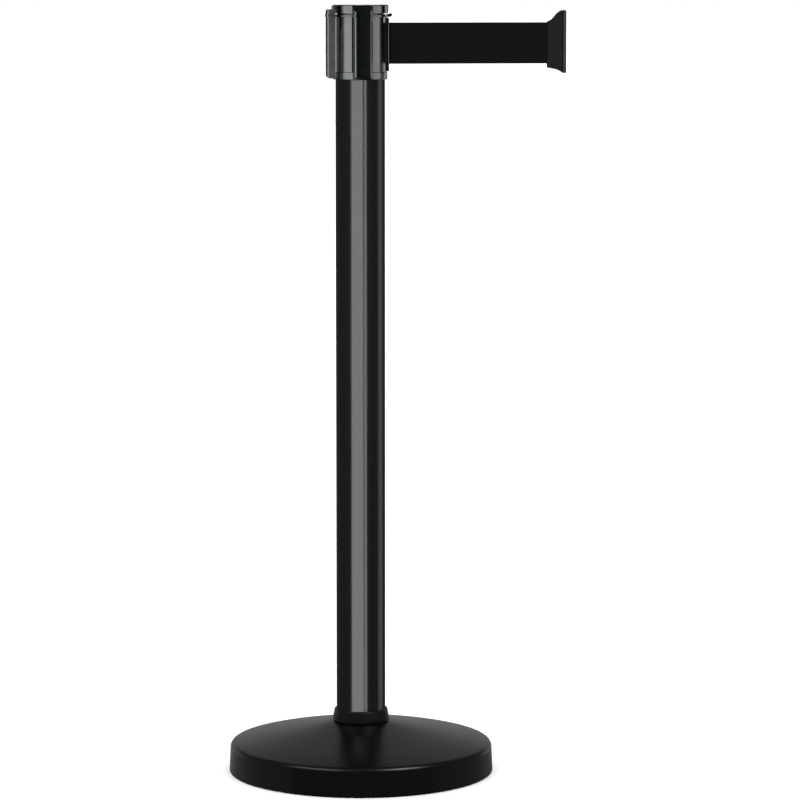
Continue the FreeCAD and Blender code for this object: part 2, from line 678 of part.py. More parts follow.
def clip_half(way):
    """One moulded half of the belt end, on the +Y or -Y side of the belt."""
    plate_x0 = END_PLATE_X1 - END_PLATE_THICK
    belt_half = BELT_WIDTH / 2 + 0.6
    neck = Part.Face(clip_outline()).extrude(vector(0, way * NECK_THICK_HALF, 0))
    plate = side_prism(
        [(plate_x0, END_BOTTOM), (END_PLATE_X1, END_BOTTOM), (END_PLATE_X1, END_TOP), (plate_x0, END_TOP)],
        [0.6, 1.4, 1.4, 0.6], END_PLATE_HALF,
    )
    sides = plan_prism(
        [(plate_x0 - 1, -END_PLATE_HALF), (END_PLATE_X1, -END_PLATE_HALF), (END_PLATE_X1, END_PLATE_HALF),
         (plate_x0 - 1, END_PLATE_HALF)],
        [0, 1.2, 1.2, 0], END_BOTTOM - 1, END_TOP + 1,
    )
    near_y, far_y = sorted((0, way * 2 * END_PLATE_HALF))
    half_space = block(BELT_OUT_X - 5, END_PLATE_X1 + 5, near_y, far_y, END_BOTTOM - 5, END_TOP + 5)
    body = neck.fuse(plate.common(sides).common(half_space))
    belt_way = block(BELT_OUT_X - 1, END_PIN_X, -0.5, 0.5, BELT_MID_Z - belt_half, BELT_MID_Z + belt_half)
    pin_room = disc(END_PIN_ROOM_R, BELT_MID_Z - belt_half, BELT_MID_Z + belt_half, END_PIN_X)
    body = body.cut(belt_way).cut(pin_room)
    for x, z in clip_screw_sites():
        hole = Part.makeCylinder(1.25, 12, vector(x, -6, z), vector(0, 1, 0))
        body = body.cut(hole)
        if way > 0:
            seat = Part.makeCylinder(2.4, 3, vector(x, NECK_THICK_HALF - 1.4, z), vector(0, 1, 0))
            body = body.cut(seat)
    return body.removeSplitter()


def clip_screw_sites():
    return [(END_SCREW_X, BELT_MID_Z + way * END_SCREW_SPREAD) for way in (1, -1)]


def clip_screws():
    """Two countersunk screws from the back half into the front half."""
    screws = []
    for x, z in clip_screw_sites():
        shank = Part.makeCylinder(1.25, NECK_THICK_HALF + 2.0, vector(x, -3.2, z), vector(0, 1, 0))
        head = Part.makeCylinder(2.3, 1.2, vector(x, NECK_THICK_HALF - 1.4, z), vector(0, 1, 0))
        screws.append(shank.fuse(head).removeSplitter())
    return Part.makeCompound(screws)


def belt_pin():
    return disc(END_PIN_R, BELT_MID_Z - BELT_WIDTH / 2 - 0.4, BELT_MID_Z + BELT_WIDTH / 2 + 0.4, END_PIN_X)


# ---------------------------------------------------------------- one STEP file for each piece
PIECES = {
    "floor_ring": floor_ring,
    "base_weight": base_weight,
    "base_cover": base_cover,
    "base_collar": base_collar,
    "bottom_plug": bottom_plug,
    "post_bolt": post_bolt,
    "bolt_washer": bolt_washer,
    "lock_washer": lock_washer,
    "post_tube": post_tube,
    "top_plug": top_plug,
    "head_screws": head_screws,
    "head_housing": head_housing,
    "head_cap": head_cap,
    "spindle": spindle,
    "spindle_clip": spindle_clip,
    "thrust_washer": thrust_washer,
    "lower_bush": lambda: bush(SPOOL_Z0, 1),
    "upper_bush": lambda: bush(DRUM_Z1 + FLANGE_THICK, -1),
    "spool_drum": spool_drum,
    "spool_lid": spool_lid,
    "power_spring": power_spring,
    "belt_coil": belt_coil,
    "belt_inner_run": belt_inner_run,
    "belt_strip": belt_strip,
    "belt_end_front": lambda: clip_half(-1),
    "belt_end_back": lambda: clip_half(1),
    "clip_screws": clip_screws,
    "belt_pin": belt_pin,
}

os.makedirs("parts", exist_ok=True)
for name, make in PIECES.items():
    shape = make()
    if not shape.isValid():
        raise ValueError(name + " is not a valid shape")
    shape.exportStep("parts/" + name + ".step")
    print(name, "solids", len(shape.Solids), "volume", round(shape.Volume, 1))
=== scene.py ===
"""Retractable belt stanchion: finishes, webbing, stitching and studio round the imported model.

Metres, in the model's own frame: the origin is the centre of the base on the floor, +Z is up and the
belt is pulled out along +X.
"""
import json
import math

import bpy
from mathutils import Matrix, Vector


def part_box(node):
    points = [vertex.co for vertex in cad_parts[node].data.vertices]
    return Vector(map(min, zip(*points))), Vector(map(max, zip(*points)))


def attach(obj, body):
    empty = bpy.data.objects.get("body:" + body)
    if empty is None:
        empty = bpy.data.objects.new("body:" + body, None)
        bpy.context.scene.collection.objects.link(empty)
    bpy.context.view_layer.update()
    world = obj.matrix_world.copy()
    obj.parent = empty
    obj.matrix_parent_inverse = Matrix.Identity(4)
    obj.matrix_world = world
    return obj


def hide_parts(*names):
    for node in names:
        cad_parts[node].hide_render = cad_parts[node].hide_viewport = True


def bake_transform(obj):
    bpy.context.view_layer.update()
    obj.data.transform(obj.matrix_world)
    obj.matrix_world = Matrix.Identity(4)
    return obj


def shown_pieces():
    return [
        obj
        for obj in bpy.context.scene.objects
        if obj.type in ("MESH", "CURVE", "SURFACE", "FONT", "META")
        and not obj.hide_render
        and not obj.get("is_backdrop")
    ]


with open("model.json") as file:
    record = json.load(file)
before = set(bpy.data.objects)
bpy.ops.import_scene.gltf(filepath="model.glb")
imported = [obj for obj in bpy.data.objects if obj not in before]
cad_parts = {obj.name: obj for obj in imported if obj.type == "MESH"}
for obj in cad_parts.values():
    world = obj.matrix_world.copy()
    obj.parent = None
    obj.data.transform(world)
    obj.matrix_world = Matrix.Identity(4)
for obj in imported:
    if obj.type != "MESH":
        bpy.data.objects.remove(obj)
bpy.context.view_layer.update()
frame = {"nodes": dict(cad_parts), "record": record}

MM = 0.001
scene = bpy.context.scene


# ---------------------------------------------------------------- where things are
def centre(node):
    """The middle of a CAD node's box."""
    low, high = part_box(node)
    return (Vector(low) + Vector(high)) / 2


strip_low, strip_high = (Vector(corner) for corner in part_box("belt_strip"))
belt_mid_z = (strip_low.z + strip_high.z) / 2
belt_width = strip_high.z - strip_low.z
belt_start_x = strip_low.x
clip_start_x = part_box("belt_end_front")[0][0]
pin_x = centre("belt_pin").x

# The weave and the layers of the webbing.
BELT_THICK = 0.6 * MM
RIB_PITCH = 1.3 * MM
RIB_DEPTH = 0.07 * MM
WEFT_PITCH = 1.1 * MM           # real picks are about half this; drawn as coarse as still shows


# ---------------------------------------------------------------- node helpers
def add(tree, kind, inputs=None, **settings):
    """Add a node with its settings; each input is a value, or a node or output that it is linked to."""
    node = tree.nodes.new(kind)
    for name, value in settings.items():
        setattr(node, name, value)
    for key, value in (inputs or {}).items():
        if isinstance(value, bpy.types.Node):
            value = value.outputs[0]
        if isinstance(value, bpy.types.NodeSocket):
            tree.links.new(value, node.inputs[key])
        else:
            node.inputs[key].default_value = value
    return node


def colour(hex_value):
    """An sRGB hex colour as linear RGBA."""
    channels = [int(hex_value[i:i + 2], 16) / 255 for i in (1, 3, 5)]
    linear = [c / 12.92 if c <= 0.04045 else ((c + 0.055) / 1.055) ** 2.4 for c in channels]
    return (*linear, 1.0)


def start_material(name, base, roughness, metallic=0.0, ior=1.5):
    """A material with its usual values, which patterns may then vary, and the place they are drawn from."""
    material = bpy.data.materials.new(name)
    material.use_nodes = True
    tree = material.node_tree
    shader = tree.nodes["Principled BSDF"]
    shader.inputs["Base Color"].default_value = colour(base)
    shader.inputs["Roughness"].default_value = roughness
    shader.inputs["Metallic"].default_value = metallic
    if not metallic:
        shader.inputs["IOR"].default_value = ior
    place = add(tree, "ShaderNodeTexCoord").outputs["Object"]
    return material, tree, shader, place


NOISE_LOW, NOISE_HIGH = 0.3, 0.7    # noise seldom leaves this range


def grain(tree, place, size, detail=2.0, squash=(1, 1, 1)):
    """Noise whose grains are size metres across, times squash along each axis."""
    scale = tuple(1 / (size * s) for s in squash)
    mapped = add(tree, "ShaderNodeMapping", {"Vector": place, "Scale": scale})
    return add(tree, "ShaderNodeTexNoise", {"Vector": mapped, "Scale": 1.0, "Detail": detail}).outputs[0]


def spread(tree, pattern, low, high):
    """Stretch a noise pattern over low..high."""
    return add(tree, "ShaderNodeMapRange", {
        "Value": pattern, "From Min": NOISE_LOW, "From Max": NOISE_HIGH, "To Min": low, "To Max": high})


def vary_roughness(tree, shader, pattern, low, high):
    tree.links.new(spread(tree, pattern, low, high).outputs[0], shader.inputs["Roughness"])


def vary_colour(tree, shader, pattern, first, second):
    mixed = add(tree, "ShaderNodeMix", {0: pattern, 6: colour(first), 7: colour(second)}, data_type="RGBA")
    tree.links.new(mixed.outputs[2], shader.inputs["Base Color"])


def raise_by(tree, shader, height, depth):
    """Bump the surface by a 0..1 pattern, depth metres high."""
    bump = add(tree, "ShaderNodeBump", {"Height": height, "Distance": depth, "Strength": 1.0})
    tree.links.new(bump.outputs[0], shader.inputs["Normal"])


# ---------------------------------------------------------------- finishes
def powder_coat():
    """Baked powder coat over spun steel: satin, with the faint orange peel that powder flows out to."""
    material, tree, shader, place = start_material("powder_coated_spun_steel", "#101010", 0.25)
    vary_roughness(tree, shader, grain(tree, place, 45 * MM), 0.245, 0.265)
    vary_colour(tree, shader, grain(tree, place, 60 * MM), "#0f0f0f", "#111111")
    raise_by(tree, shader, grain(tree, place, 1.2 * MM), 0.012 * MM)
    return material


def tube_coat():
    """Stove enamel on drawn tube: glossier than powder, with faint lines left along the tube."""
    material, tree, shader, place = start_material("enamelled_drawn_tube", "#181616", 0.16)
    lines = grain(tree, place, 1.4 * MM, squash=(1, 1, 120))
    vary_roughness(tree, shader, lines, 0.13, 0.19)
    raise_by(tree, shader, lines, 0.002 * MM)
    return material


def moulded_abs():
    """ABS moulded in a polished tool: glossy, with the slow waviness of a cooled wall."""
    material, tree, shader, place = start_material("glossy_moulded_abs", "#040c0e", 0.2, ior=1.53)
    vary_roughness(tree, shader, grain(tree, place, 9 * MM), 0.17, 0.24)
    vary_colour(tree, shader, grain(tree, place, 25 * MM), "#030b0d", "#060e10")
    raise_by(tree, shader, grain(tree, place, 7 * MM, detail=1.0), 0.03 * MM)
    return material


RUBBED_FROM = 7.5 * MM          # off the middle plane; only the end plate reaches this far
RUBBED_TO = 9.5 * MM
RUBBED_ROUGHNESS = 0.16


def moulded_clip():
    """Glass-filled nylon moulding with a fine spark-eroded grain, rubbed glossy on the end plate's flanks."""
    material, tree, shader, place = start_material("grained_moulded_nylon_black", "#0a0e10", 0.42)
    axes = add(tree, "ShaderNodeSeparateXYZ", {"Vector": place})
    off_middle = add(tree, "ShaderNodeMath", {0: axes.outputs["Y"]}, operation="ABSOLUTE")
    rubbed = add(tree, "ShaderNodeMapRange",
                 {"Value": off_middle, "From Min": RUBBED_FROM, "From Max": RUBBED_TO})
    grained = spread(tree, grain(tree, place, 1.0 * MM), 0.36, 0.5)
    finish = add(tree, "ShaderNodeMix", {0: rubbed, 2: grained, 3: RUBBED_ROUGHNESS}, data_type="FLOAT")
    tree.links.new(finish.outputs[0], shader.inputs["Roughness"])
    raise_by(tree, shader, grain(tree, place, 0.6 * MM), 0.03 * MM)
    return material


def moulded_collar():
    """Polypropylene ring: waxy and duller than the coats beside it."""
    material, tree, shader, place = start_material("satin_moulded_polypropylene", "#131313", 0.4, ior=1.49)
    vary_roughness(tree, shader, grain(tree, place, 5 * MM), 0.34, 0.44)
    raise_by(tree, shader, grain(tree, place, 0.8 * MM), 0.012 * MM)
    return material


def rubber():
    """Moulded rubber ring: matt, with a bloom of lighter patches."""
    material, tree, shader, place = start_material("moulded_rubber", "#1b1b1b", 0.8, ior=1.52)
    vary_colour(tree, shader, grain(tree, place, 12 * MM), "#181818", "#242423")
    raise_by(tree, shader, grain(tree, place, 0.7 * MM), 0.05 * MM)
    return material


def cast_iron():
    """Grey iron as cast in sand, lightly oiled: coarse skin with darker pits."""
    material, tree, shader, place = start_material("sand_cast_iron", "#3b3936", 0.6, metallic=1.0)
    pits = grain(tree, place, 1.8 * MM, detail=5.0)
    vary_colour(tree, shader, pits, "#262422", "#4b4844")
    vary_roughness(tree, shader, grain(tree, place, 6 * MM), 0.5, 0.72)
    raise_by(tree, shader, pits, 0.25 * MM)
    return material


def zinc_plate():
    """Bright zinc plating on steel, with a faint blue and straw passivation."""
    material, tree, shader, place = start_material("zinc_plated_steel", "#c4c5c6", 0.3, metallic=1.0)
    vary_colour(tree, shader, grain(tree, place, 6 * MM), "#bcc0c6", "#cfccbe")
    vary_roughness(tree, shader, grain(tree, place, 1.0 * MM), 0.24, 0.38)
    return material


def spring_steel():
    """Tempered blue strip steel, rolled lengthwise."""
    material, tree, shader, place = start_material("blued_spring_steel", "#555b68", 0.32, metallic=1.0)
    lines = grain(tree, place, 0.5 * MM, squash=(8, 8, 1))
    vary_colour(tree, shader, lines, "#4a5264", "#696a70")
    vary_roughness(tree, shader, lines, 0.26, 0.4)
    return material


def natural_nylon():
    """Unpigmented nylon: milky, with light soaking in a little way."""
    material, tree, shader, place = start_material("natural_nylon", "#d8d2c0", 0.42, ior=1.53)
    shader.inputs["Subsurface Weight"].default_value = 0.15
    shader.inputs["Subsurface Radius"].default_value = (2.0 * MM, 1.5 * MM, 1.0 * MM)
    vary_colour(tree, shader, grain(tree, place, 14 * MM), "#d3ccb8", "#dedaca")
    raise_by(tree, shader, grain(tree, place, 1.5 * MM), 0.02 * MM)
    return material


PICK_SHARE = 0.35               # how high the picks rise, when the fibres rise by 1


def woven_polyester():
    """Spun polyester webbing: weft picks cross the ribs, yarns vary in shade, loose fibres give sheen."""
    material, tree, shader, place = start_material("woven_polyester_webbing", "#121817", 0.78, ior=1.5)
    shader.inputs["Sheen Weight"].default_value = 0.08
    shader.inputs["Sheen Roughness"].default_value = 0.4
    shader.inputs["Sheen Tint"].default_value = colour("#6f8a88")
    axes = add(tree, "ShaderNodeSeparateXYZ", {"Vector": place})
    along = add(tree, "ShaderNodeMath", {0: axes.outputs["X"], 1: math.tau / WEFT_PITCH},
                operation="MULTIPLY")
    across = add(tree, "ShaderNodeMath", {0: axes.outputs["Z"], 1: math.tau / RIB_PITCH},
                 operation="MULTIPLY")
    picks = add(tree, "ShaderNodeMath", {0: along}, operation="SINE")
    ribs = add(tree, "ShaderNodeMath", {0: across}, operation="SINE")
    crossing = add(tree, "ShaderNodeMath", {0: picks, 1: ribs}, operation="MULTIPLY")
    fibres = grain(tree, place, 0.5 * MM, detail=4.0, squash=(3, 3, 1))
    height = add(tree, "ShaderNodeMath", {0: crossing, 1: PICK_SHARE, 2: fibres}, operation="MULTIPLY_ADD")
    mottle = grain(tree, place, 2.6 * MM, detail=3.0, squash=(2.2, 2.2, 1))
    vary_colour(tree, shader, mottle, "#020a09", "#08120f")
    vary_roughness(tree, shader, fibres, 0.7, 0.86)
    raise_by(tree, shader, height, 0.12 * MM)
    return material


def sewing_thread():
    """Bonded polyester thread: finer and a little glossier than the webbing."""
    material, tree, shader, place = start_material("bonded_polyester_thread", "#1c2221", 0.5)
    vary_roughness(tree, shader, grain(tree, place, 0.3 * MM), 0.42, 0.6)
    raise_by(tree, shader, grain(tree, place, 0.25 * MM), 0.03 * MM)
    return material


FINISHES = {
    "base_coat": powder_coat(),
    "post_coat": tube_coat(),
    "head_plastic": moulded_abs(),
    "clip_plastic": moulded_clip(),
    "collar_plastic": moulded_collar(),
    "webbing": woven_polyester(),
    "rubber": rubber(),
    "cast_iron": cast_iron(),
    "zinc_steel": zinc_plate(),
    "spring_steel": spring_steel(),
    "nylon": natural_nylon(),
}
THREAD = sewing_thread()

for subpart in frame["record"]["subparts"]:
    node = frame["nodes"][subpart["node"]]
    node.data.materials.clear()
    node.data.materials.append(FINISHES[subpart["material_slot"]])


# ---------------------------------------------------------------- geometry node helpers
def start_tree(name, sizes):
    """A geometry tree with a geometry input, one float or integer input for each size, and an output."""
    tree = bpy.data.node_groups.new(name, "GeometryNodeTree")
    tree.interface.new_socket("Geometry", in_out="INPUT", socket_type="NodeSocketGeometry")
    for label, value in sizes.items():
        kind = "NodeSocketInt" if isinstance(value, int) else "NodeSocketFloat"
        tree.interface.new_socket(label, in_out="INPUT", socket_type=kind).default_value = value
    tree.interface.new_socket("Geometry", in_out="OUTPUT", socket_type="NodeSocketGeometry")
    return tree, tree.nodes.new("NodeGroupInput").outputs


def end_tree(tree, geometry, material):
    """Close a tree with real geometry, all of it in one material."""
    real = add(tree, "GeometryNodeRealizeInstances", {0: geometry})
    finished = add(tree, "GeometryNodeSetMaterial", {"Geometry": real, "Material": material})
    output = tree.nodes.new("NodeGroupOutput")
    tree.links.new(finished.outputs[0], output.inputs[0])


def grown(name, tree, sizes, points, edges=()):
    """A plain mesh object from a geometry tree that runs on the given points and edges."""
    seed = bpy.data.meshes.new(name + "_seed")
    seed.from_pydata([tuple(p) for p in points], list(edges), [])
    piece = bpy.data.objects.new(name, seed)
    scene.collection.objects.link(piece)
    modifier = piece.modifiers.new("shape", "NODES")
    modifier.node_group = tree
    for item in tree.interface.items_tree:
        if item.item_type == "SOCKET" and item.name in sizes:
            modifier[item.identifier] = sizes[item.name]
    bpy.context.view_layer.update()
    shape = bpy.data.meshes.new_from_object(piece.evaluated_get(bpy.context.evaluated_depsgraph_get()))
    piece.modifiers.remove(modifier)
    piece.data = shape
    shape.name = name
    bpy.data.meshes.remove(seed)
    return piece


# ---------------------------------------------------------------- webbing
BELT_OUTLINE = 320              # points round the webbing's outline, enough to round every rib
HEM_OUTLINE = 240
ROLL_OUTLINE = 32               # the roll has no ribs
EDGE_POWER = 30.0               # the higher, the nearer to its edges the webbing starts to thin
RUN_STEPS = 96                  # lengths that share out the stretch between the head and the belt end

ROLL_CORE_RADIUS = 17.1 * MM    # where the first layer lies on the drum
ROLL_PACKING = 0.92             # tension on the belt presses the layers together
LAYER_GAP = 0.98                # of a layer that is webbing, so that layers don't share faces
ROLL_STEPS_PER_TURN = 48

HEM_STEPS = 12
HEM_LENGTH = 3.6 * MM           # of the folded end that shows before the clip
HEM_TUCK = 0.5 * MM             # of it inside the clip
FOLD_GAP = 0.02 * MM
STITCH_FROM_EDGE = 1.8 * MM
STITCH_PITCH = 2.6 * MM
STITCH_LENGTH = 2.0 * MM
STITCH_BULGE = 0.4 * MM
STITCH_SINK = 0.2 * MM
STITCH_STEPS = 8
THREAD_RADIUS = 0.16 * MM


def webbing_tree():
    """Ribbed webbing swept along a level path: its outline goes up one face and down the other."""
    tree, sizes = start_tree("webbing on a path", {
        "Width": belt_width, "Thickness": BELT_THICK, "Rib Pitch": RIB_PITCH, "Rib Depth": RIB_DEPTH,
        "Outline Points": BELT_OUTLINE,
    })
    outline = add(tree, "GeometryNodeCurvePrimitiveCircle",
                  {"Resolution": sizes["Outline Points"], "Radius": 1.0}, mode="RADIUS")
    # Across the width and back again: span runs from -1 to 1 up one face, and side tells the faces apart.
    index = add(tree, "GeometryNodeInputIndex")
    round_way = add(tree, "ShaderNodeMath", {0: index, 1: sizes["Outline Points"]}, operation="DIVIDE")
    doubled = add(tree, "ShaderNodeMath", {0: round_way, 1: 2.0}, operation="MULTIPLY")
    folded = add(tree, "ShaderNodeMath", {0: doubled, 1: 1.0}, operation="PINGPONG")
    span = add(tree, "ShaderNodeMath", {0: folded, 1: 2.0, 2: -1.0}, operation="MULTIPLY_ADD")
    half_width = add(tree, "ShaderNodeMath", {0: sizes["Width"], 1: 0.5}, operation="MULTIPLY")
    across = add(tree, "ShaderNodeMath", {0: span, 1: half_width}, operation="MULTIPLY")
    face = add(tree, "ShaderNodeMath", {0: round_way, 1: 0.5}, operation="LESS_THAN")
    side = add(tree, "ShaderNodeMath", {0: face, 1: 2.0, 2: -1.0}, operation="MULTIPLY_ADD")
    # Ribs stand up from each face as a cosine, and the webbing thins to nothing at its edges.
    turns = add(tree, "ShaderNodeMath", {0: across, 1: sizes["Rib Pitch"]}, operation="DIVIDE")
    angle = add(tree, "ShaderNodeMath", {0: turns, 1: math.tau}, operation="MULTIPLY")
    wave = add(tree, "ShaderNodeMath", {0: angle}, operation="COSINE")
    half_thick = add(tree, "ShaderNodeMath", {0: sizes["Thickness"], 1: 0.5}, operation="MULTIPLY")
    low_face = add(tree, "ShaderNodeMath", {0: half_thick, 1: sizes["Rib Depth"]}, operation="SUBTRACT")
    ribbed = add(tree, "ShaderNodeMath", {0: wave, 1: sizes["Rib Depth"], 2: low_face},
                 operation="MULTIPLY_ADD")
    edge = add(tree, "ShaderNodeMath", {0: span, 1: EDGE_POWER}, operation="POWER")
    fade = add(tree, "ShaderNodeMath", {0: 1.0, 1: edge}, operation="SUBTRACT")
    thinned = add(tree, "ShaderNodeMath", {0: ribbed, 1: fade}, operation="MULTIPLY")
    out = add(tree, "ShaderNodeMath", {0: thinned, 1: side}, operation="MULTIPLY")
    position = add(tree, "ShaderNodeCombineXYZ", {"X": out, "Y": across})
    profile = add(tree, "GeometryNodeSetPosition", {"Geometry": outline, "Position": position})
    path = add(tree, "GeometryNodeMeshToCurve", {"Mesh": sizes["Geometry"]})
    upright = add(tree, "GeometryNodeSetCurveNormal", {"Curve": path}, mode="Z_UP")
    swept = add(tree, "GeometryNodeCurveToMesh",
                {"Curve": upright, "Profile Curve": profile, "Fill Caps": True})
    shaded = add(tree, "GeometryNodeSetShadeSmooth", {"Geometry": swept, "Shade Smooth": True})
    end_tree(tree, shaded, FINISHES["webbing"])
    return tree


def chain(points):
    """Edges that join the points one after another."""
    return [(i, i + 1) for i in range(len(points) - 1)]


WEBBING = webbing_tree()


def outer_belt():
    """The belt outside the head, as far as the pin."""
    start, end = belt_start_x, pin_x
    points = [Vector((start + (end - start) * i / RUN_STEPS, 0, belt_mid_z)) for i in range(RUN_STEPS + 1)]
    belt = grown("webbing_out", WEBBING, {}, points, chain(points))
    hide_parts("belt_strip")
    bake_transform(belt)


def belt_roll():
    """The webbing still wound on the drum, layer on layer."""
    coil_low, coil_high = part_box("belt_coil")
    outer_radius = (coil_high[0] - coil_low[0]) / 2
    layer = BELT_THICK * ROLL_PACKING
    inner_radius = ROLL_CORE_RADIUS + layer / 2
    turns = (outer_radius - ROLL_CORE_RADIUS) / layer - 1   # from mid layer to mid layer
    steps = int(turns * ROLL_STEPS_PER_TURN)
    points = []
    for step in range(steps):
        turned = turns * step / steps
        radius = inner_radius + turned * layer
        angle = turned * math.tau
        points.append(Vector((radius * math.cos(angle), radius * math.sin(angle), belt_mid_z)))
    roll = grown("webbing_roll", WEBBING, {
        "Thickness": layer * LAYER_GAP, "Rib Depth": 0.0, "Outline Points": ROLL_OUTLINE,
    }, points, chain(points))
    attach(roll, "spool")
    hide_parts("belt_coil")


def hem():
    """The belt's end after it folds round the pin: drawn as the flat layer laid back along the front face."""
    start = clip_start_x - HEM_LENGTH
    end = clip_start_x + HEM_TUCK
    points = [Vector((start + (end - start) * i / HEM_STEPS, -BELT_THICK - FOLD_GAP, belt_mid_z))
              for i in range(HEM_STEPS + 1)]
    flap = grown("hem", WEBBING, {"Outline Points": HEM_OUTLINE}, points, chain(points))
    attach(flap, "belt_end")


def stitch_tree():
    """One upright stitch at every point: a thread that arches out of the belt and dives in at both ends."""
    tree, sizes = start_tree("stitches", {
        "Length": STITCH_LENGTH, "Thread Radius": THREAD_RADIUS, "Bulge": STITCH_BULGE, "Sides": 8,
    })
    half = add(tree, "ShaderNodeMath", {0: sizes["Length"], 1: 0.5}, operation="MULTIPLY")
    down = add(tree, "ShaderNodeMath", {0: half, 1: -1.0}, operation="MULTIPLY")
    sunk = add(tree, "ShaderNodeMath", {0: sizes["Bulge"], 1: -0.5}, operation="MULTIPLY")
    low = add(tree, "ShaderNodeCombineXYZ", {"Y": sunk, "Z": down})
    high = add(tree, "ShaderNodeCombineXYZ", {"Y": sunk, "Z": half})
    middle = add(tree, "ShaderNodeCombineXYZ", {"Y": sizes["Bulge"]})
    arc = add(tree, "GeometryNodeCurveQuadraticBezier",
              {"Resolution": STITCH_STEPS, "Start": low, "Middle": middle, "End": high})
    ring = add(tree, "GeometryNodeCurvePrimitiveCircle",
               {"Resolution": sizes["Sides"], "Radius": sizes["Thread Radius"]}, mode="RADIUS")
    thread = add(tree, "GeometryNodeCurveToMesh", {"Curve": arc, "Profile Curve": ring, "Fill Caps": True})
    shaded = add(tree, "GeometryNodeSetShadeSmooth", {"Geometry": thread, "Shade Smooth": True})
    placed = add(tree, "GeometryNodeInstanceOnPoints", {"Points": sizes["Geometry"], "Instance": shaded})
    end_tree(tree, placed, THREAD)
    return tree


def hem_stitches():
    """A row of lock stitches through hem and belt: the needle thread in front, the bobbin thread behind."""
    tree = stitch_tree()
    count = int(belt_width / STITCH_PITCH)
    x = clip_start_x - HEM_LENGTH + STITCH_FROM_EDGE
    heights = [belt_mid_z + (i - (count - 1) / 2) * STITCH_PITCH for i in range(count)]
    front = ("stitches_front", -1, -1.5 * BELT_THICK)
    back = ("stitches_back", 1, 0.5 * BELT_THICK)
    for name, way, face_y in (front, back):
        sites = [Vector((x, face_y - way * STITCH_SINK, z)) for z in heights]
        row = grown(name, tree, {"Bulge": way * STITCH_BULGE}, sites)
        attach(row, "belt_end")


# ---------------------------------------------------------------- clip screws
screws_low, screws_high = (Vector(corner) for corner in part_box("clip_screws"))
SCREW_HEAD_R = (screws_high.x - screws_low.x) / 2
SCREW_SITES = [Vector((centre("clip_screws").x, 0, z))
               for z in (screws_low.z + SCREW_HEAD_R, screws_high.z - SCREW_HEAD_R)]
SCREW_SHANK_R = 1.25 * MM
SCREW_HEAD_HIGH = 1.2 * MM
RECESS_ARM = 1.5 * MM
RECESS_WIDE = 0.5 * MM
RECESS_DEEP = 0.9 * MM
BOSS_SKIN = 1.0 * MM
BOSS_FIT = 0.01 * MM
ROUND_SIDES = 48


def turned_cylinder(tree, radius, depth, y):
    """A cylinder whose axis runs along Y, centred at y."""
    body = add(tree, "GeometryNodeMeshCylinder", {"Vertices": ROUND_SIDES, "Radius": radius, "Depth": depth})
    place = add(tree, "ShaderNodeCombineXYZ", {"Y": y})
    return add(tree, "GeometryNodeTransform",
               {"Geometry": body, "Translation": place, "Rotation": (math.pi / 2, 0, 0)})


def screw_tree():
    """A cross-recessed screw at every point, its head towards +Y."""
    length = screws_high.y - screws_low.y
    tree, sizes = start_tree("cross recessed screws", {
        "Head Radius": SCREW_HEAD_R, "Shank Radius": SCREW_SHANK_R, "Recess Arm": RECESS_ARM,
        "Recess Width": RECESS_WIDE,
    })
    head = turned_cylinder(tree, sizes["Head Radius"], SCREW_HEAD_HIGH, screws_high.y - SCREW_HEAD_HIGH / 2)
    shank_length = length - SCREW_HEAD_HIGH / 2
    shank = turned_cylinder(tree, sizes["Shank Radius"], shank_length, screws_low.y + shank_length / 2)
    across = add(tree, "ShaderNodeMath", {0: sizes["Recess Arm"], 1: 2.0}, operation="MULTIPLY")
    bars = []
    for long_axis, short_axis in (("X", "Z"), ("Z", "X")):
        size = add(tree, "ShaderNodeCombineXYZ",
                   {long_axis: across, short_axis: sizes["Recess Width"], "Y": 2 * RECESS_DEEP})
        bar = add(tree, "GeometryNodeMeshCube", {"Size": size})
        bars.append(add(tree, "GeometryNodeTransform",
                        {"Geometry": bar, "Translation": (0, screws_high.y, 0)}))
    solid = add(tree, "GeometryNodeMeshBoolean", operation="UNION", solver="MANIFOLD")
    tree.links.new(head.outputs[0], solid.inputs["Mesh 2"])
    tree.links.new(shank.outputs[0], solid.inputs["Mesh 2"])
    recess = add(tree, "GeometryNodeMeshBoolean", operation="UNION", solver="MANIFOLD")
    for bar in bars:
        tree.links.new(bar.outputs[0], recess.inputs["Mesh 2"])
    cut = add(tree, "GeometryNodeMeshBoolean", {"Mesh 1": solid, "Mesh 2": recess},
              operation="DIFFERENCE", solver="MANIFOLD")
    placed = add(tree, "GeometryNodeInstanceOnPoints", {"Points": sizes["Geometry"], "Instance": cut})
    end_tree(tree, placed, FINISHES["zinc_steel"])
    return tree


def clip_screws():
    """The screws that close the belt end, driven from behind."""
    screws = grown("clip_screws_cross", screw_tree(), {}, SCREW_SITES)
    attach(screws, "belt_end")
    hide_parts("clip_screws")


def boss_tree():
    """The blind end of a screw boss at every point: a disc flush with the front face."""
    tree, sizes = start_tree("boss ends", {"Radius": SCREW_SHANK_R - BOSS_FIT})
    cap = add(tree, "GeometryNodeMeshCylinder",
              {"Vertices": ROUND_SIDES, "Radius": sizes["Radius"], "Depth": BOSS_SKIN})
    laid = add(tree, "GeometryNodeTransform", {"Geometry": cap, "Rotation": (math.pi / 2, 0, 0)})
    placed = add(tree, "GeometryNodeInstanceOnPoints", {"Points": sizes["Geometry"], "Instance": laid})
    end_tree(tree, placed, FINISHES["clip_plastic"])
    return tree


def boss_ends():
    """The front half's bosses are blind: the screws stop short of its face."""
    mid_skin_y = screws_low.y - BOSS_SKIN / 2
    sites = [Vector((site.x, mid_skin_y, site.z)) for site in SCREW_SITES]
    caps = grown("boss_ends", boss_tree(), {}, sites)
    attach(caps, "belt_end")


outer_belt()
belt_roll()
hem()
hem_stitches()
clip_screws()
boss_ends()


